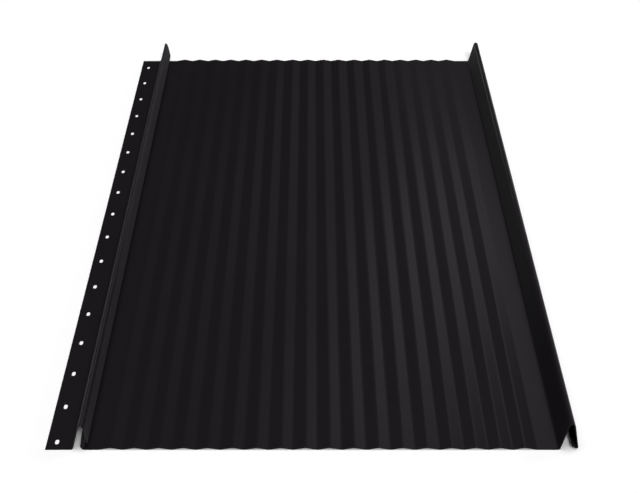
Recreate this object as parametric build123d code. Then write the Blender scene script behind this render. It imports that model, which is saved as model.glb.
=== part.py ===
"""Snap-lock standing-seam roof panel: one sheet rolled to a seam rib on each side of a corrugated pan."""
import os
from math import cos, radians, sin, tan

from build123d import *

os.makedirs("parts", exist_ok=True)

# Sheet. Lengths in millimetres, angles in degrees. X runs across the panel, Y along it, Z up.
LENGTH = 1000.0
COVER_WIDTH = 500.0  # male crest to female crest
THICKNESS = 0.5

# Nailing flange along the left edge, with a row of slots
FLANGE_WIDTH = 28.0  # free edge to the foot of the male web
SLOT_WIDTH = 4.0
SLOT_LENGTH = 8.0
SLOT_PITCH = 60.0
SLOT_EDGE_DISTANCE = 10.5  # free edge to the centre line of the slots
SLOT_END_DISTANCE = 12.5  # front end to the first slot's centre, and the least at the far end
PUNCH_OVERRUN = 1.0

# Male rib: web, crest, leaf, barb with a closed hem, inner web
MALE_HEIGHT = 31.0
MALE_WEB_LEAN = 15.4
MALE_FOOT_RADIUS = 3.0
MALE_CREST_RADIUS = 1.75
SHOULDER_LEAN = 20.0
SHOULDER_DROP = 6.0  # crest to where the leaf turns steeper
SHOULDER_RADIUS = 3.0
LEAF_LEAN = 10.5  # also of the female leg that slides down it
BARB_HEIGHT = 8.9  # underside of the barb above the roof
HEM_GAP = 0.1
HEM_DROP = 0.8  # shoulder to the top of the folded-back hem
HEM_FOLD_GAP = 0.3  # inner width of the fold at the hem's top
INNER_WEB_LEAN = 10.0
INNER_FOOT_RADIUS = 4.25

# Corrugated pan
WAVE_PITCH = 25.0
WAVE_FLANK_ANGLE = 11.3
WAVE_RADIUS = 10.0
WAVE_START = 16.5  # male crest to the first wave's foot
PLAIN_STRIP = 15.0  # least width left flat beside the female rib

# Female rib: web, crest, outer leg, hook lip that snaps under the barb
SEAM_TOP_CLEARANCE = 1.6  # how much higher the female crest stands
FEMALE_WEB_LEAN = 14.0
FEMALE_FOOT_RADIUS = 3.0
CREST_CLEARANCE = 1.4  # how much wider the female crest bends
HOOK_HEIGHT = 2.0  # underside of the hook above the roof
HOOK_RADIUS = 1.5
HOOK_RISE = 35.0  # slope of the lip
HOOK_LENGTH = 4.6

MID = THICKNESS / 2  # height of the sheet's middle line where it lies flat
HEM_RADIUS = (THICKNESS + HEM_GAP) / 2
HEM_TOP_RADIUS = (THICKNESS + HEM_FOLD_GAP) / 2
SHOULDER_HEIGHT = MALE_HEIGHT - SHOULDER_DROP
HEM_TOP_HEIGHT = SHOULDER_HEIGHT - HEM_DROP
FEMALE_HEIGHT = MALE_HEIGHT + SEAM_TOP_CLEARANCE
FEMALE_CREST_RADIUS = MALE_CREST_RADIUS + CREST_CLEARANCE


def sine(angle):
    return sin(radians(angle))


def cosine(angle):
    return cos(radians(angle))


def tangent(angle):
    return tan(radians(angle))


def web_run(height, lean, radius):
    """How far across a leaning web carries the sheet, from its sharp foot to the crest's centre."""
    centre = height - MID - radius
    return radius * cosine(lean) + (centre + radius * sine(lean) - MID) * tangent(lean)


MALE_CREST_X = FLANGE_WIDTH + web_run(MALE_HEIGHT, MALE_WEB_LEAN, MALE_CREST_RADIUS)
FEMALE_CREST_X = MALE_CREST_X + COVER_WIDTH
FEMALE_FOOT_X = FEMALE_CREST_X - web_run(FEMALE_HEIGHT, FEMALE_WEB_LEAN, FEMALE_CREST_RADIUS)
WAVE_START_X = MALE_CREST_X + WAVE_START
WAVE_COUNT = int((FEMALE_FOOT_X - PLAIN_STRIP - WAVE_START_X) / WAVE_PITCH)
SLOT_COUNT = 1 + int((LENGTH - 2 * SLOT_END_DISTANCE) / SLOT_PITCH)


def to_x(x):
    """Straight leg that ends at a place across the panel."""
    return lambda point, heading: (x - point.X) / cosine(heading)


def to_z(z):
    """Straight leg that ends at a height."""
    return lambda point, heading: (z - point.Y) / sine(heading)


def run(length):
    """Straight leg of a stated length."""
    return lambda point, heading: length


def bend(radius, angle):
    """Bend on the middle line; a positive angle turns up and to the left."""
    return (radius, angle)


def flange_and_male_rib():
    """Steps from the free edge over the male rib to the pan."""
    web_angle = 90 - MALE_WEB_LEAN
    leaf_end = BARB_HEIGHT + MID + HEM_RADIUS * (1 + sine(LEAF_LEAN))
    return [
        to_x(FLANGE_WIDTH - MALE_FOOT_RADIUS * tangent(web_angle / 2)),
        bend(MALE_FOOT_RADIUS, web_angle),
        to_z(MALE_HEIGHT - MID - MALE_CREST_RADIUS * (1 - cosine(web_angle))),
        bend(MALE_CREST_RADIUS, MALE_WEB_LEAN + SHOULDER_LEAN - 180),
        to_z(SHOULDER_HEIGHT),
        bend(SHOULDER_RADIUS, LEAF_LEAN - SHOULDER_LEAN),
        to_z(leaf_end),
        bend(HEM_RADIUS, -180),
        to_z(HEM_TOP_HEIGHT - MID - HEM_TOP_RADIUS * (1 - sine(LEAF_LEAN))),
        bend(HEM_TOP_RADIUS, 180 - LEAF_LEAN - INNER_WEB_LEAN),
        to_z(MID + INNER_FOOT_RADIUS * (1 + sine(INNER_WEB_LEAN))),
        bend(INNER_FOOT_RADIUS, 90 + INNER_WEB_LEAN),
    ]


def waves():
    """Steps of the corrugation: straight flanks between rounded crests and valleys."""
    foot_reach = WAVE_RADIUS * tangent(WAVE_FLANK_ANGLE / 2)
    bend_reach = WAVE_RADIUS * sine(WAVE_FLANK_ANGLE)
    steps = [to_x(WAVE_START_X - foot_reach), bend(WAVE_RADIUS, WAVE_FLANK_ANGLE)]
    for index in range(WAVE_COUNT):
        crest = WAVE_START_X + (index + 1 / 2) * WAVE_PITCH
        valley = WAVE_START_X + (index + 1) * WAVE_PITCH
        steps += [to_x(crest - bend_reach), bend(WAVE_RADIUS, -2 * WAVE_FLANK_ANGLE)]
        if index < WAVE_COUNT - 1:
            steps += [to_x(valley - bend_reach), bend(WAVE_RADIUS, 2 * WAVE_FLANK_ANGLE)]
        else:
            end_reach = foot_reach * cosine(WAVE_FLANK_ANGLE)
            steps += [to_x(valley - end_reach), bend(WAVE_RADIUS, WAVE_FLANK_ANGLE)]
    return steps


def female_rib():
    """Steps from the pan over the female rib to the tip of its hook lip."""
    web_angle = 90 - FEMALE_WEB_LEAN
    return [
        to_x(FEMALE_FOOT_X - FEMALE_FOOT_RADIUS * tangent(web_angle / 2)),
        bend(FEMALE_FOOT_RADIUS, web_angle),
        to_z(FEMALE_HEIGHT - MID - FEMALE_CREST_RADIUS * (1 - cosine(web_angle))),
        bend(FEMALE_CREST_RADIUS, FEMALE_WEB_LEAN + LEAF_LEAN - 180),
        to_z(HOOK_HEIGHT + MID + HOOK_RADIUS * (1 + sine(LEAF_LEAN))),
        bend(HOOK_RADIUS, -90 - HOOK_RISE - LEAF_LEAN),
        run(HOOK_LENGTH),
    ]


def rolled_section(steps):
    """Face of the sheet's section: both surfaces follow the middle line through every leg and bend."""
    point = Vector(0, MID)
    heading = 0.0
    surfaces = {MID: [], -MID: []}
    for step in steps:
        along = Vector(cosine(heading), sine(heading))
        left = Vector(-sine(heading), cosine(heading))
        if callable(step):
            end = point + along * step(point, heading)
            for side, edges in surfaces.items():
                edges.append(Edge.make_line(point + left * side, end + left * side))
        else:
            radius, angle = step
            turn = 1 if angle > 0 else -1
            centre = point + left * (radius * turn)
            end = centre + (point - centre).rotate(Axis.Z, angle)
            for side, edges in surfaces.items():
                edges.append(JernArc(point + left * side, along, radius - side * turn, angle).edge())
            heading += angle
        point = end
    upper, lower = surfaces[MID], surfaces[-MID]
    ends = [Edge.make_line(upper[0] @ 0, lower[0] @ 0), Edge.make_line(upper[-1] @ 1, lower[-1] @ 1)]
    return make_face(upper + lower + ends)


section = Plane.XZ * rolled_section(flange_and_male_rib() + waves() + female_rib())
sheet = extrude(section, LENGTH / 2, both=True)

slot_middle = SLOT_END_DISTANCE + (SLOT_COUNT - 1) * SLOT_PITCH / 2 - LENGTH / 2
slot_row = Pos(SLOT_EDGE_DISTANCE, slot_middle, 0)
punch = extrude(SlotOverall(SLOT_LENGTH, SLOT_WIDTH, rotation=90), THICKNESS + PUNCH_OVERRUN, both=True)
slots = [slot_row * place * punch for place in GridLocations(SLOT_PITCH, SLOT_PITCH, 1, SLOT_COUNT)]

panel = sheet - slots
box = panel.bounding_box()
panel = Pos(-(box.min.X + box.max.X) / 2, 0, 0) * panel
export_step(panel, "parts/roof_panel.step")
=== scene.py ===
"""Corrugated standing-seam roof panel: the rolled sheet, its painted coats and a plain stage."""
from math import acos, ceil, cos, pi, radians, sin, tan

import bmesh
import bpy
from bpy.props import FloatProperty, FloatVectorProperty, IntProperty, PointerProperty
from bpy.types import Operator, Panel, PropertyGroup
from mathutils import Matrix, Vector


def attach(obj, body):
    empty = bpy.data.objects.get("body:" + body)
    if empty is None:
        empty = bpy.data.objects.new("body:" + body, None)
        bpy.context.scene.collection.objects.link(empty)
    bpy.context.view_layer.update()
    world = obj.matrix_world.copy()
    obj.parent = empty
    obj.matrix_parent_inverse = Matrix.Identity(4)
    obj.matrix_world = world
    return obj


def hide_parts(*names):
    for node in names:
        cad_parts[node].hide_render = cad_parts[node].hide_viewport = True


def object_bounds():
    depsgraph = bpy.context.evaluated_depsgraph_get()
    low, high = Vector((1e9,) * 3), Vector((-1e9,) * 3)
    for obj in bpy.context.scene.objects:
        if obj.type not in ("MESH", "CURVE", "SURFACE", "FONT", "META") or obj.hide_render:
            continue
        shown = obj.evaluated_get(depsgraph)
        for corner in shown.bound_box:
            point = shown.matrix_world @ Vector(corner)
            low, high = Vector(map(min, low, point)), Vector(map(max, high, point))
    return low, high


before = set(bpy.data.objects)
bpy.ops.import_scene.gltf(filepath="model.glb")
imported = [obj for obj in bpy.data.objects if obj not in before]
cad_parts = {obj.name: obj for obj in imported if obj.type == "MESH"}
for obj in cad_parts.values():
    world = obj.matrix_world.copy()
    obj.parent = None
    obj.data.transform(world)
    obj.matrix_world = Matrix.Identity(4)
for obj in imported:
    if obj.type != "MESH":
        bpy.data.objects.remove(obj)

bl_info = {
    "name": "Corrugated Roof Panel",
    "version": (1, 0, 0),
    "blender": (4, 5, 0),
    "location": "3D View > Sidebar > Roof Panel",
    "description": "Rolls a corrugated standing-seam roof panel from sheet and sets its stage",
    "category": "Object",
}

CAD_LOW, CAD_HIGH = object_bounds()
MM = 0.001
PANEL_NODE = "roof_panel"
PANEL_BODY = "root"
MERGE_DISTANCE = 0.001 * MM
PLACE_TOLERANCE = 0.05 * MM
SMOOTH_ANGLE = radians(35)

# Material slots of the sheet that follow the top coat's.
BACK_COAT, CUT_EDGE = 1, 2

# How far a bend stretched the paint is kept on the mesh, and tight bends dull the paint.
STRETCH = "bend_stretch"
CRAZE_START, CRAZE_FULL = 0.09, 0.14
CRAZE_ROUGHNESS = 0.12

# The paint turns matt at a glancing angle, where 0 is face on and 1 is edge on.
MATT_START, MATT_FULL = 0.66, 0.78
MATT_ROUGHNESS = 0.75

# Grain of the paint: scales are per metre, and the streaks are long in Y.
STREAK_SCALE = (260.0, 1.6, 260.0)
DRIFT_SCALE = 5.0
PEEL_DETAIL = 2.0
STREAK_DETAIL = 3.0
DRIFT_DETAIL = 3.0
MIDDLE_TONE = 0.5
STREAK_RELIEF = 0.3
RELIEF_DEPTH = 0.02 * MM

# Stage. The screens stand one behind another, so that no two share a plane.
FLOOR_GAP = 0.1 * MM
SUN_DISTANCE = 4
SCREEN_GAP = 0.03
SENSOR_WIDTH = 36
WHITE = (1.0, 1.0, 1.0)


class SheetSizes(PropertyGroup):
    """Sizes of the sheet, its nailing flange and how finely its bends are divided."""

    length: FloatProperty(
        name="Length", description="Length of the panel along Y",
        default=CAD_HIGH.y - CAD_LOW.y, unit="LENGTH")
    cover_width: FloatProperty(
        name="Cover Width", description="Male crest to female crest", default=500 * MM, unit="LENGTH")
    thickness: FloatProperty(
        name="Thickness", description="Thickness of the sheet", default=0.5 * MM, unit="LENGTH")
    bend_tolerance: FloatProperty(
        name="Bend Tolerance", description="How far a bend's facets may leave its true arc",
        default=0.005 * MM, unit="LENGTH")
    flange_width: FloatProperty(
        name="Flange Width", description="Free edge to the foot of the male web",
        default=28 * MM, unit="LENGTH")
    slot_width: FloatProperty(
        name="Slot Width", description="Width of a nailing slot", default=4 * MM, unit="LENGTH")
    slot_length: FloatProperty(
        name="Slot Length", description="Length of a nailing slot along Y", default=8 * MM, unit="LENGTH")
    slot_pitch: FloatProperty(
        name="Slot Pitch", description="Distance between slots", default=60 * MM, unit="LENGTH")
    slot_count: IntProperty(
        name="Slot Count", description="Number of nailing slots", default=17, min=1)
    slot_edge_distance: FloatProperty(
        name="Slot Edge Distance", description="Free edge to the slots' centre line",
        default=10.5 * MM, unit="LENGTH")
    slot_end_distance: FloatProperty(
        name="Slot End Distance", description="Front end to the first slot's centre",
        default=12.5 * MM, unit="LENGTH")
    slot_segments: IntProperty(
        name="Slot Segments", description="Facets in each quarter of a slot's round end", default=8, min=2)


class MaleRibSizes(PropertyGroup):
    """Sizes of the male rib: web, crest, leaf, barb with a closed hem, and inner web."""

    height: FloatProperty(
        name="Height", description="Roof to the top of the male crest", default=31 * MM, unit="LENGTH")
    web_lean: FloatProperty(
        name="Web Lean", description="Lean of the web from upright", default=radians(15.4), subtype="ANGLE")
    foot_radius: FloatProperty(
        name="Foot Radius", description="Bend between flange and web", default=3 * MM, unit="LENGTH")
    crest_radius: FloatProperty(
        name="Crest Radius", description="Bend over the crest", default=1.75 * MM, unit="LENGTH")
    shoulder_lean: FloatProperty(
        name="Shoulder Lean", description="Lean of the leaf under the crest",
        default=radians(20), subtype="ANGLE")
    shoulder_drop: FloatProperty(
        name="Shoulder Drop", description="Crest to where the leaf turns steeper",
        default=6 * MM, unit="LENGTH")
    shoulder_radius: FloatProperty(
        name="Shoulder Radius", description="Bend at the shoulder", default=3 * MM, unit="LENGTH")
    leaf_lean: FloatProperty(
        name="Leaf Lean", description="Lean of the leaf, and of the female leg that slides down it",
        default=radians(10.5), subtype="ANGLE")
    barb_height: FloatProperty(
        name="Barb Height", description="Underside of the barb above the roof",
        default=8.9 * MM, unit="LENGTH")
    hem_radius: FloatProperty(
        name="Hem Radius", description="Bend at the bottom of the barb's hem",
        default=0.3 * MM, unit="LENGTH")
    hem_drop: FloatProperty(
        name="Hem Drop", description="Shoulder to the top of the folded-back hem",
        default=0.8 * MM, unit="LENGTH")
    hem_top_radius: FloatProperty(
        name="Hem Top Radius", description="Bend at the top of the hem", default=0.4 * MM, unit="LENGTH")
    inner_web_lean: FloatProperty(
        name="Inner Web Lean", description="Lean of the web under the barb",
        default=radians(10), subtype="ANGLE")
    inner_foot_radius: FloatProperty(
        name="Inner Foot Radius", description="Bend between inner web and pan",
        default=4.25 * MM, unit="LENGTH")


class PanSizes(PropertyGroup):
    """Sizes of the corrugated pan."""

    wave_count: IntProperty(
        name="Waves", description="Number of waves across the pan", default=18, min=1)
    wave_pitch: FloatProperty(
        name="Wave Pitch", description="Crest to crest", default=25 * MM, unit="LENGTH")
    wave_start: FloatProperty(
        name="Wave Start", description="Male crest to the first wave's foot",
        default=16.5 * MM, unit="LENGTH")
    flank_angle: FloatProperty(
        name="Flank Angle", description="Slope of a wave's straight flanks",
        default=radians(11.3), subtype="ANGLE")
    wave_radius: FloatProperty(
        name="Wave Radius", description="Bend over each crest and through each valley",
        default=10 * MM, unit="LENGTH")


class FemaleRibSizes(PropertyGroup):
    """Sizes of the female rib: web, crest, outer leg and hook lip."""

    height: FloatProperty(
        name="Height", description="Roof to the top of the female crest",
        default=CAD_HIGH.z - CAD_LOW.z, unit="LENGTH")
    web_lean: FloatProperty(
        name="Web Lean", description="Lean of the web from upright", default=radians(14), subtype="ANGLE")
    foot_radius: FloatProperty(
        name="Foot Radius", description="Bend between pan and web", default=3 * MM, unit="LENGTH")
    crest_radius: FloatProperty(
        name="Crest Radius", description="Bend over the crest", default=3.15 * MM, unit="LENGTH")
    hook_height: FloatProperty(
        name="Hook Height", description="Underside of the hook above the roof",
        default=2 * MM, unit="LENGTH")
    hook_radius: FloatProperty(
        name="Hook Radius", description="Bend at the bottom of the leg", default=1.5 * MM, unit="LENGTH")
    hook_rise: FloatProperty(
        name="Hook Rise", description="Slope of the lip", default=radians(35), subtype="ANGLE")
    hook_length: FloatProperty(
        name="Hook Length", description="Straight length of the lip", default=4.6 * MM, unit="LENGTH")


class CoatColours(PropertyGroup):
    """Colours of the painted coats and of the cut edges."""

    top_coat: FloatVectorProperty(
        name="Top Coat", description="Satin black paint of the upper side",
        default=(0.0081, 0.0066, 0.0083), size=3, subtype="COLOR", min=0, max=1)
    top_coat_light: FloatVectorProperty(
        name="Top Coat, Light", description="Palest tone of the upper side",
        default=(0.0111, 0.0090, 0.0112), size=3, subtype="COLOR", min=0, max=1)
    back_coat: FloatVectorProperty(
        name="Back Coat", description="Dull black paint of the underside",
        default=(0.0085, 0.0078, 0.0084), size=3, subtype="COLOR", min=0, max=1)
    back_coat_light: FloatVectorProperty(
        name="Back Coat, Light", description="Palest tone of the underside",
        default=(0.0125, 0.0115, 0.0124), size=3, subtype="COLOR", min=0, max=1)
    # The sheared edges are coloured near black, far darker than bare steel: this darkness is painted shade.
    cut_edge: FloatVectorProperty(
        name="Cut Edge", description="Dark sheared steel", default=(0.0070, 0.0060, 0.0070),
        size=3, subtype="COLOR", min=0, max=1)
    cut_edge_light: FloatVectorProperty(
        name="Cut Edge, Light", description="Sheared steel where the blade burnished it",
        default=(0.0130, 0.0115, 0.0130), size=3, subtype="COLOR", min=0, max=1)


class StageSettings(PropertyGroup):
    """Floor, lamps and camera."""

    floor_size: FloatProperty(
        name="Floor Size", description="Width of the square floor", default=60.0, unit="LENGTH")
    floor_colour: FloatVectorProperty(
        name="Floor", description="Colour of the floor", default=(0.96, 0.96, 0.96),
        size=3, subtype="COLOR", min=0, max=1)
    room_colour: FloatVectorProperty(
        name="Room", description="Colour of the light that comes from all round",
        default=(0.008, 0.008, 0.008), size=3, subtype="COLOR", min=0, max=1)
    screen_distance: FloatProperty(
        name="Screen Distance", description="Panel's middle to the screens behind it",
        default=1.2, unit="LENGTH")
    screen_colour: FloatVectorProperty(
        name="Screens", description="Colour of the light from behind", default=(1.0, 0.93, 1.0),
        size=3, subtype="COLOR", min=0, max=1)
    lens: FloatProperty(
        name="Lens", description="Focal length in millimetres on a 36 mm sensor",
        default=80.49, unit="CAMERA")
    camera_place: FloatVectorProperty(
        name="Camera", description="Where the camera stands", default=(0.0004, -1.655, 0.926),
        size=3, subtype="TRANSLATION")
    camera_tilt: FloatProperty(
        name="Camera Tilt", description="Angle of the view from straight down",
        default=radians(59.37), subtype="ANGLE")
    camera_shift: FloatProperty(
        name="Camera Shift", description="Sideways shift of the frame", default=0.01267)


def sheet_middle(settings):
    """Height of the sheet's middle line where it lies flat."""
    return CAD_LOW.z + settings.sheet.thickness / 2


def web_run(settings, height, lean, radius):
    """How far across a leaning web carries the sheet, from its sharp foot to the crest's centre."""
    half = settings.sheet.thickness / 2
    centre = height - half - radius
    return radius * cos(lean) + (centre + radius * sin(lean) - half) * tan(lean)


def male_crest_place(settings):
    """Place across the panel of the male crest."""
    rib = settings.male_rib
    foot = CAD_LOW.x + settings.sheet.flange_width
    return foot + web_run(settings, rib.height, rib.web_lean, rib.crest_radius)


def select_places(mesh_object, kind, wanted):
    """In edit mode, selects the vertices or edges whose places all satisfy wanted."""
    bpy.ops.mesh.select_mode(type=kind)
    bpy.ops.mesh.select_all(action="DESELECT")
    shape = bmesh.from_edit_mesh(mesh_object.data)
    found = 0
    if kind == "VERT":
        for corner in shape.verts:
            if wanted(corner.co):
                corner.select_set(True)
                found += 1
    else:
        for edge in shape.edges:
            if all(wanted(corner.co) for corner in edge.verts):
                edge.select_set(True)
                found += 1
    bmesh.update_edit_mesh(mesh_object.data)
    if not found:
        raise RuntimeError("nothing to select on " + mesh_object.name)


class GrowingEdge:
    """The edge that the sheet grows from: a leg is an extrusion of it and a bend is a spin of it."""

    def __init__(self, mesh, x, z, thickness, tolerance):
        self.mesh = mesh
        self.x = x
        self.z = z
        self.heading = 0.0
        self.half_thickness = thickness / 2
        self.tolerance = tolerance

    def mark_stretch(self, old_count, stretch):
        """Keeps how much the bend just made stretched the paint; its two end rows stay at none."""
        shape = bmesh.from_edit_mesh(self.mesh)
        layer = shape.verts.layers.float[STRETCH]
        for index, corner in enumerate(shape.verts):
            if index >= old_count and not corner.select:
                corner[layer] = stretch
        bmesh.update_edit_mesh(self.mesh)

    def run(self, length):
        """Grows a straight leg of a length."""
        step = Vector((length * cos(self.heading), 0.0, length * sin(self.heading)))
        bpy.ops.mesh.extrude_edges_move(TRANSFORM_OT_translate={"value": step})
        self.x += step.x
        self.z += step.z

    def to_x(self, x):
        """Grows a straight leg up to a place across the panel."""
        self.run((x - self.x) / cos(self.heading))

    def to_z(self, z):
        """Grows a straight leg up or down to a height."""
        self.run((z - self.z) / sin(self.heading))

    def bend(self, radius, angle):
        """Grows a bend; a positive angle turns it anticlockwise, seen from the front end."""
        turn = 1 if angle > 0 else -1
        centre_x = self.x - turn * radius * sin(self.heading)
        centre_z = self.z + turn * radius * cos(self.heading)
        steps = max(2, ceil(abs(angle) / (2 * acos(1 - self.tolerance / radius))))
        old_count = len(bmesh.from_edit_mesh(self.mesh).verts)
        bpy.ops.mesh.spin(steps=steps, angle=angle, center=(centre_x, 0, centre_z), axis=(0, 1, 0))
        self.mark_stretch(old_count, self.half_thickness / radius)
        self.heading += angle
        self.x = centre_x + turn * radius * sin(self.heading)
        self.z = centre_z - turn * radius * cos(self.heading)


def punched_flange(settings):
    """Models one slotted cell of the flange, repeats it along the panel and trims the ends to length."""
    sheet = settings.sheet
    height = sheet_middle(settings)
    slot_place = (CAD_LOW.x + sheet.slot_edge_distance, CAD_LOW.y + sheet.slot_end_distance, height)
    foot_angle = pi / 2 - settings.male_rib.web_lean
    flat_width = sheet.flange_width - settings.male_rib.foot_radius * tan(foot_angle / 2)
    cell_place = (CAD_LOW.x + flat_width / 2, slot_place[1], height)

    bpy.ops.object.select_all(action="DESELECT")
    bpy.ops.mesh.primitive_plane_add(size=sheet.slot_length, location=slot_place)
    panel = bpy.context.object
    panel.name = "roof_panel_sheet"
    panel.data.name = "roof_panel_sheet"
    bpy.ops.object.transform_apply(location=True, rotation=True, scale=True)
    bpy.ops.object.mode_set(mode="EDIT")
    narrowing = sheet.slot_width / sheet.slot_length
    bpy.ops.transform.resize(value=(narrowing, 1, 1), center_override=slot_place)
    bpy.ops.mesh.bevel(offset=sheet.slot_width / 2, segments=sheet.slot_segments, affect="VERTICES")
    bpy.ops.mesh.select_all(action="SELECT")
    bpy.ops.mesh.remove_doubles(threshold=MERGE_DISTANCE)
    bpy.ops.mesh.delete(type="ONLY_FACE")

    bpy.ops.mesh.primitive_plane_add(size=sheet.slot_pitch, location=cell_place)
    widening = flat_width / sheet.slot_pitch
    bpy.ops.transform.resize(value=(widening, 1, 1), center_override=cell_place)
    bpy.ops.mesh.delete(type="ONLY_FACE")
    bpy.ops.mesh.select_all(action="SELECT")
    bpy.ops.mesh.fill(use_beauty=True)
    bpy.ops.object.mode_set(mode="OBJECT")

    bpy.ops.object.modifier_add(type="ARRAY")
    row = panel.modifiers[-1]
    row.count = sheet.slot_count
    row.use_relative_offset = False
    row.use_constant_offset = True
    row.constant_offset_displace = (0, sheet.slot_pitch, 0)
    row.use_merge_vertices = True
    row.merge_threshold = MERGE_DISTANCE
    bpy.ops.object.modifier_apply(modifier=row.name)

    front = slot_place[1] - sheet.slot_pitch / 2
    back = front + sheet.slot_count * sheet.slot_pitch
    bpy.ops.object.mode_set(mode="EDIT")
    for end, wanted_end in ((front, CAD_LOW.y), (back, CAD_LOW.y + sheet.length)):
        select_places(panel, "VERT", lambda place, end=end: abs(place.y - end) < PLACE_TOLERANCE)
        bpy.ops.transform.translate(value=(0, wanted_end - end, 0))
    bpy.ops.object.mode_set(mode="OBJECT")
    return panel, CAD_LOW.x + flat_width


def roll_male_rib(edge, settings):
    """Web, crest, leaf, barb with its hem, and inner web down to the pan."""
    rib = settings.male_rib
    floor = CAD_LOW.z
    half = settings.sheet.thickness / 2
    web_angle = pi / 2 - rib.web_lean
    shoulder = floor + rib.height - rib.shoulder_drop
    hem_top = shoulder - rib.hem_drop
    edge.bend(rib.foot_radius, web_angle)
    edge.to_z(floor + rib.height - half - rib.crest_radius * (1 - cos(web_angle)))
    edge.bend(rib.crest_radius, rib.web_lean + rib.shoulder_lean - pi)
    edge.to_z(shoulder)
    edge.bend(rib.shoulder_radius, rib.leaf_lean - rib.shoulder_lean)
    edge.to_z(floor + rib.barb_height + half + rib.hem_radius * (1 + sin(rib.leaf_lean)))
    edge.bend(rib.hem_radius, -pi)
    edge.to_z(hem_top - half - rib.hem_top_radius * (1 - sin(rib.leaf_lean)))
    edge.bend(rib.hem_top_radius, pi - rib.leaf_lean - rib.inner_web_lean)
    edge.to_z(floor + half + rib.inner_foot_radius * (1 + sin(rib.inner_web_lean)))
    edge.bend(rib.inner_foot_radius, pi / 2 + rib.inner_web_lean)


def roll_waves(edge, settings):
    """The corrugation: straight flanks between rounded crests and valleys."""
    pan = settings.pan
    start = male_crest_place(settings) + pan.wave_start
    foot_reach = pan.wave_radius * tan(pan.flank_angle / 2)
    bend_reach = pan.wave_radius * sin(pan.flank_angle)
    edge.to_x(start - foot_reach)
    edge.bend(pan.wave_radius, pan.flank_angle)
    for wave in range(1, pan.wave_count + 1):
        valley = start + wave * pan.wave_pitch
        edge.to_x(valley - pan.wave_pitch / 2 - bend_reach)
        edge.bend(pan.wave_radius, -2 * pan.flank_angle)
        if wave < pan.wave_count:
            edge.to_x(valley - bend_reach)
            edge.bend(pan.wave_radius, 2 * pan.flank_angle)
    edge.to_x(valley - foot_reach * cos(pan.flank_angle))
    edge.bend(pan.wave_radius, pan.flank_angle)


def roll_female_rib(edge, settings):
    """Web, crest, outer leg and the hook lip that snaps under a neighbour's barb."""
    rib = settings.female_rib
    floor = CAD_LOW.z
    half = settings.sheet.thickness / 2
    leg_lean = settings.male_rib.leaf_lean
    web_angle = pi / 2 - rib.web_lean
    crest = male_crest_place(settings) + settings.sheet.cover_width
    foot = crest - web_run(settings, rib.height, rib.web_lean, rib.crest_radius)
    edge.to_x(foot - rib.foot_radius * tan(web_angle / 2))
    edge.bend(rib.foot_radius, web_angle)
    edge.to_z(floor + rib.height - half - rib.crest_radius * (1 - cos(web_angle)))
    edge.bend(rib.crest_radius, rib.web_lean + leg_lean - pi)
    edge.to_z(floor + rib.hook_height + half + rib.hook_radius * (1 + sin(leg_lean)))
    edge.bend(rib.hook_radius, -pi / 2 - rib.hook_rise - leg_lean)
    edge.run(rib.hook_length)


def add_node(tree, kind, **settings):
    """Adds a shader node and sets its own settings."""
    node = tree.nodes.new(kind)
    for name, value in settings.items():
        setattr(node, name, value)
    return node


def add_noise(tree, place, scale, detail):
    """Adds a noise pattern that is read at a place."""
    noise = add_node(tree, "ShaderNodeTexNoise")
    noise.inputs["Scale"].default_value = scale
    noise.inputs["Detail"].default_value = detail
    tree.links.new(place, noise.inputs["Vector"])
    return noise


def add_ramp(tree, start, full, amount, **settings):
    """Adds a Map Range node that rises from nothing at start to an amount at full."""
    ramp = add_node(tree, "ShaderNodeMapRange", **settings)
    ramp.inputs["From Min"].default_value = start
    ramp.inputs["From Max"].default_value = full
    ramp.inputs["To Max"].default_value = amount
    return ramp


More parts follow.
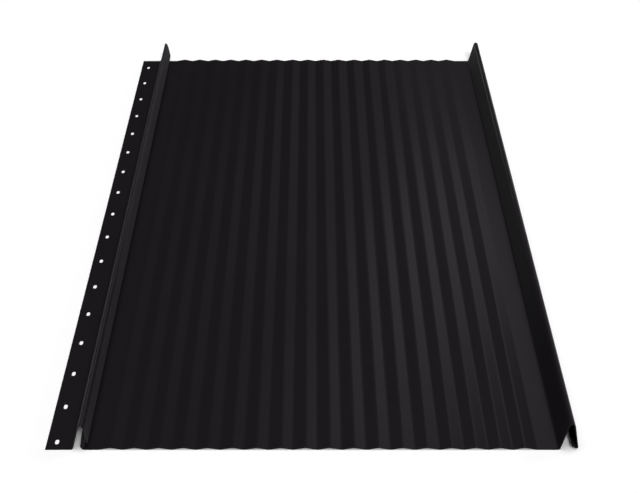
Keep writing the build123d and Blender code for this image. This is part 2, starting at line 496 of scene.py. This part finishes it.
def coil_paint_grain():
    """Node group of the paint's own surface: orange peel, streaks along the coil and slow drift of tone."""
    tree = bpy.data.node_groups.new("coil_paint_grain", "ShaderNodeTree")
    sockets = tree.interface
    peel_scale = 700.0
    inputs = (("Peel Scale", peel_scale), ("Streak Share", 0.35), ("Gloss", 0.4), ("Gloss Spread", 0.08))
    for label, default in inputs:
        socket = sockets.new_socket(label, in_out="INPUT", socket_type="NodeSocketFloat")
        socket.default_value = default
    for label in ("Tone", "Roughness", "Height"):
        sockets.new_socket(label, in_out="OUTPUT", socket_type="NodeSocketFloat")
    link = tree.links.new
    given = add_node(tree, "NodeGroupInput")
    result = add_node(tree, "NodeGroupOutput")
    place = add_node(tree, "ShaderNodeTexCoord")

    peel = add_noise(tree, place.outputs["Object"], scale=peel_scale, detail=PEEL_DETAIL)
    link(given.outputs["Peel Scale"], peel.inputs["Scale"])

    along = add_node(tree, "ShaderNodeMapping")
    along.inputs["Scale"].default_value = STREAK_SCALE
    link(place.outputs["Object"], along.inputs["Vector"])
    streak = add_noise(tree, along.outputs["Vector"], scale=1.0, detail=STREAK_DETAIL)
    drift = add_noise(tree, place.outputs["Object"], scale=DRIFT_SCALE, detail=DRIFT_DETAIL)

    tone = add_node(tree, "ShaderNodeMix", data_type="FLOAT")
    link(given.outputs["Streak Share"], tone.inputs["Factor"])
    link(drift.outputs["Fac"], tone.inputs["A"])
    link(streak.outputs["Fac"], tone.inputs["B"])
    link(tone.outputs["Result"], result.inputs["Tone"])

    centred = add_node(tree, "ShaderNodeMath", operation="SUBTRACT")
    centred.inputs[1].default_value = MIDDLE_TONE
    link(tone.outputs["Result"], centred.inputs[0])
    gloss = add_node(tree, "ShaderNodeMath", operation="MULTIPLY_ADD", use_clamp=True)
    link(centred.outputs["Value"], gloss.inputs[0])
    link(given.outputs["Gloss Spread"], gloss.inputs[1])
    link(given.outputs["Gloss"], gloss.inputs[2])

    stretch = add_node(tree, "ShaderNodeAttribute", attribute_name=STRETCH)
    crazing = add_ramp(tree, CRAZE_START, CRAZE_FULL, CRAZE_ROUGHNESS)
    link(stretch.outputs["Fac"], crazing.inputs["Value"])
    roughness = add_node(tree, "ShaderNodeMath", operation="ADD", use_clamp=True)
    link(gloss.outputs["Value"], roughness.inputs[0])
    link(crazing.outputs["Result"], roughness.inputs[1])
    link(roughness.outputs["Value"], result.inputs["Roughness"])

    height = add_node(tree, "ShaderNodeMath", operation="MULTIPLY_ADD")
    height.inputs[1].default_value = STREAK_RELIEF
    link(streak.outputs["Fac"], height.inputs[0])
    link(peel.outputs["Fac"], height.inputs[2])
    link(height.outputs["Value"], result.inputs["Height"])
    return tree


def painted_finish(name, grain, dark, light, gloss, spread, specular, bump):
    """A paint on the sheet: two close tones, a gloss that drifts and dulls, and the grain's fine relief."""
    material = bpy.data.materials.new(name)
    material.use_nodes = True
    tree = material.node_tree
    link = tree.links.new
    shader = tree.nodes["Principled BSDF"]
    shader.inputs["Specular IOR Level"].default_value = specular
    surface = add_node(tree, "ShaderNodeGroup", node_tree=grain)
    surface.inputs["Gloss"].default_value = gloss
    surface.inputs["Gloss Spread"].default_value = spread
    tone = add_node(tree, "ShaderNodeMix", data_type="RGBA")
    tone.inputs["A"].default_value = (*dark, 1)
    tone.inputs["B"].default_value = (*light, 1)
    link(surface.outputs["Tone"], tone.inputs["Factor"])
    link(tone.outputs["Result"], shader.inputs["Base Color"])

    glance = add_node(tree, "ShaderNodeLayerWeight")
    matting = add_ramp(tree, MATT_START, MATT_FULL, MATT_ROUGHNESS, interpolation_type="SMOOTHSTEP")
    dulled = add_node(tree, "ShaderNodeMath", operation="ADD", use_clamp=True)
    link(glance.outputs["Facing"], matting.inputs["Value"])
    link(surface.outputs["Roughness"], dulled.inputs[0])
    link(matting.outputs["Result"], dulled.inputs[1])
    link(dulled.outputs["Value"], shader.inputs["Roughness"])

    relief = add_node(tree, "ShaderNodeBump")
    relief.inputs["Strength"].default_value = bump
    relief.inputs["Distance"].default_value = RELIEF_DEPTH
    link(surface.outputs["Height"], relief.inputs["Height"])
    link(relief.outputs["Normal"], shader.inputs["Normal"])
    return material


def coat_materials(settings):
    """Top coat, back coat and cut edge, in the order of the sheet's material slots."""
    colours = settings.colours
    grain = coil_paint_grain()
    top = painted_finish("satin_black_top_coat", grain, colours.top_coat, colours.top_coat_light,
                         gloss=0.28, spread=0.02, specular=0.40, bump=0.08)
    back = painted_finish("dull_black_back_coat", grain, colours.back_coat, colours.back_coat_light,
                          gloss=0.60, spread=0.12, specular=0.30, bump=0.35)
    # The cut edge's near-black tones are painted shade on the sheared steel.
    edge = painted_finish("sheared_edge_painted_shade", grain, colours.cut_edge, colours.cut_edge_light,
                          gloss=0.60, spread=0.15, specular=0.15, bump=0.60)
    return top, back, edge


def thicken(panel, thickness):
    """Gives the rolled sheet its thickness, half to each side, and its smooth shading."""
    bpy.ops.object.modifier_add(type="SOLIDIFY")
    wall = panel.modifiers[-1]
    wall.thickness = thickness
    wall.offset = 0
    wall.use_even_offset = True
    wall.material_offset = BACK_COAT
    wall.material_offset_rim = CUT_EDGE
    bpy.ops.object.modifier_apply(modifier=wall.name)
    bpy.ops.object.shade_smooth_by_angle(angle=SMOOTH_ANGLE)


def check_closed(panel):
    """Stops the work if the sheet isn't one closed wall."""
    shape = bmesh.new()
    shape.from_mesh(panel.data)
    open_edges = sum(not edge.is_manifold for edge in shape.edges)
    shape.free()
    if open_edges:
        raise RuntimeError(f"the rolled sheet has {open_edges} open edges")


class ROOFPANEL_OT_roll_sheet(Operator):
    """Rolls the roof panel from one sheet: slotted flange, male rib, corrugated pan and female rib"""

    bl_idname = "roofpanel.roll_sheet"
    bl_label = "Roll Sheet"

    def execute(self, context):
        settings = context.scene.roof_panel
        sheet = settings.sheet
        panel, flat_end = punched_flange(settings)
        panel.data.attributes.new(STRETCH, "FLOAT", "POINT")
        bpy.ops.object.mode_set(mode="EDIT")
        select_places(panel, "EDGE", lambda place: abs(place.x - flat_end) < PLACE_TOLERANCE)
        edge = GrowingEdge(
            panel.data, flat_end, sheet_middle(settings), sheet.thickness, sheet.bend_tolerance)
        roll_male_rib(edge, settings)
        roll_waves(edge, settings)
        roll_female_rib(edge, settings)
        bpy.ops.mesh.select_all(action="SELECT")
        bpy.ops.mesh.remove_doubles(threshold=MERGE_DISTANCE)
        bpy.ops.mesh.normals_make_consistent(inside=False)
        shape = bmesh.from_edit_mesh(panel.data)
        if sum(face.normal.z * face.calc_area() for face in shape.faces) < 0:
            bpy.ops.mesh.flip_normals()
        bpy.ops.object.mode_set(mode="OBJECT")

        for material in coat_materials(settings):
            panel.data.materials.append(material)
        thicken(panel, sheet.thickness)
        check_closed(panel)
        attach(panel, PANEL_BODY)
        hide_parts(PANEL_NODE)
        return {"FINISHED"}


def aim(lamp, place, target):
    """Turns a lamp so that it shines from its place onto the target."""
    beam = Vector(target) - Vector(place)
    lamp.rotation_euler = beam.to_track_quat("-Z", "Y").to_euler()


def sky_direction(azimuth, elevation):
    """Direction towards a place round the panel; azimuth 0 is behind it and 90 is to its right."""
    return Vector((sin(azimuth) * cos(elevation), cos(azimuth) * cos(elevation), sin(elevation)))


def add_sun(name, azimuth, elevation, spread, strength, colour=WHITE):
    """A soft lamp that lights the whole floor evenly; its angles are in degrees."""
    place = sky_direction(radians(azimuth), radians(elevation)) * SUN_DISTANCE
    bpy.ops.object.light_add(type="SUN", location=place)
    lamp = bpy.context.object
    lamp.name = name
    lamp.data.energy = strength
    lamp.data.angle = radians(spread)
    lamp.data.color = colour
    aim(lamp, place, (0, 0, 0))


def add_screen(name, place, width, height, power, colour):
    """An upright rectangular soft lamp that stands behind the panel and faces it."""
    bpy.ops.object.light_add(type="AREA", location=place)
    lamp = bpy.context.object
    lamp.name = name
    lamp.data.shape = "RECTANGLE"
    lamp.data.size = width
    lamp.data.size_y = height
    lamp.data.energy = power
    lamp.data.color = colour
    lamp.visible_camera = False
    aim(lamp, place, (place[0], 0, place[2]))


def lay_floor(stage):
    """A white floor just under the panel, with no gloss of its own."""
    bpy.ops.object.select_all(action="DESELECT")
    bpy.ops.mesh.primitive_plane_add(size=stage.floor_size, location=(0, 0, CAD_LOW.z - FLOOR_GAP))
    floor = bpy.context.object
    floor.name = "floor"
    paper = bpy.data.materials.new("white_floor")
    paper.use_nodes = True
    shader = paper.node_tree.nodes["Principled BSDF"]
    shader.inputs["Base Color"].default_value = (*stage.floor_colour, 1)
    shader.inputs["Roughness"].default_value = 1.0
    shader.inputs["Specular IOR Level"].default_value = 0.0
    floor.data.materials.append(paper)


def light_room(scene, stage):
    """A dim room, four soft lamps far away and three screens that give the waves their sheen."""
    room = bpy.data.worlds.new("studio")
    room.use_nodes = True
    background = room.node_tree.nodes["Background"]
    background.inputs["Color"].default_value = (*stage.room_colour, 1)
    scene.world = room
    tint = stage.screen_colour
    add_sun("top_fill", azimuth=180, elevation=85, spread=60, strength=1.9)
    add_sun("front_fill", azimuth=168, elevation=39, spread=16, strength=1.82)
    add_sun("low_back_right", azimuth=60, elevation=22, spread=30, strength=0.54, colour=tint)
    add_sun("low_from_left", azimuth=-90, elevation=14, spread=24, strength=0.36)
    near = stage.screen_distance
    middle = near + SCREEN_GAP
    far = middle + SCREEN_GAP
    add_screen("dim_screen", (0.10, far, 1.05), width=0.42, height=0.80, power=0.034, colour=tint)
    add_screen("tall_screen", (0.60, near, 1.12), width=0.39, height=1.25, power=0.47, colour=tint)
    add_screen("wide_screen", (0.73, middle, 0.50), width=1.36, height=0.53, power=0.165, colour=tint)


def stand_camera(scene, stage):
    """The camera at the place and with the lens that the view was taken with."""
    bpy.ops.object.camera_add(location=stage.camera_place, rotation=(stage.camera_tilt, 0, 0))
    camera = bpy.context.object
    camera.name = "view"
    camera.data.sensor_width = SENSOR_WIDTH
    camera.data.lens = stage.lens
    camera.data.shift_x = stage.camera_shift
    scene.camera = camera
    scene.view_settings.view_transform = "Standard"


class ROOFPANEL_OT_set_stage(Operator):
    """Lays the floor, hangs the lamps and stands the camera where the view is taken from"""

    bl_idname = "roofpanel.set_stage"
    bl_label = "Set Stage"

    def execute(self, context):
        scene = context.scene
        stage = scene.roof_panel.stage
        lay_floor(stage)
        light_room(scene, stage)
        stand_camera(scene, stage)
        return {"FINISHED"}


class RoofPanelSettings(PropertyGroup):
    """All that a user would change."""

    sheet: PointerProperty(name="Sheet", description="Sheet and nailing flange", type=SheetSizes)
    male_rib: PointerProperty(name="Male Rib", description="Rib beside the flange", type=MaleRibSizes)
    pan: PointerProperty(name="Pan", description="Corrugated pan", type=PanSizes)
    female_rib: PointerProperty(name="Female Rib", description="Rib with the hook lip", type=FemaleRibSizes)
    colours: PointerProperty(name="Colours", description="Paint and cut edges", type=CoatColours)
    stage: PointerProperty(name="Stage", description="Floor, lamps and camera", type=StageSettings)


class ROOFPANEL_PT_sidebar(Panel):
    """Lists the steps that make the panel and its stage"""

    bl_idname = "ROOFPANEL_PT_sidebar"
    bl_label = "Roof Panel"
    bl_space_type = "VIEW_3D"
    bl_region_type = "UI"
    bl_category = "Roof Panel"

    def draw(self, context):
        layout = self.layout
        layout.operator(ROOFPANEL_OT_roll_sheet.bl_idname)
        layout.operator(ROOFPANEL_OT_set_stage.bl_idname)


CLASSES = (
    SheetSizes,
    MaleRibSizes,
    PanSizes,
    FemaleRibSizes,
    CoatColours,
    StageSettings,
    RoofPanelSettings,
    ROOFPANEL_OT_roll_sheet,
    ROOFPANEL_OT_set_stage,
    ROOFPANEL_PT_sidebar,
)


def register():
    for cls in CLASSES:
        bpy.utils.register_class(cls)
    bpy.types.Scene.roof_panel = PointerProperty(type=RoofPanelSettings)


def unregister():
    del bpy.types.Scene.roof_panel
    for cls in reversed(CLASSES):
        bpy.utils.unregister_class(cls)


def main():
    register()
    bpy.ops.roofpanel.roll_sheet()
    bpy.ops.roofpanel.set_stage()


if __name__ == "__main__":
    main()
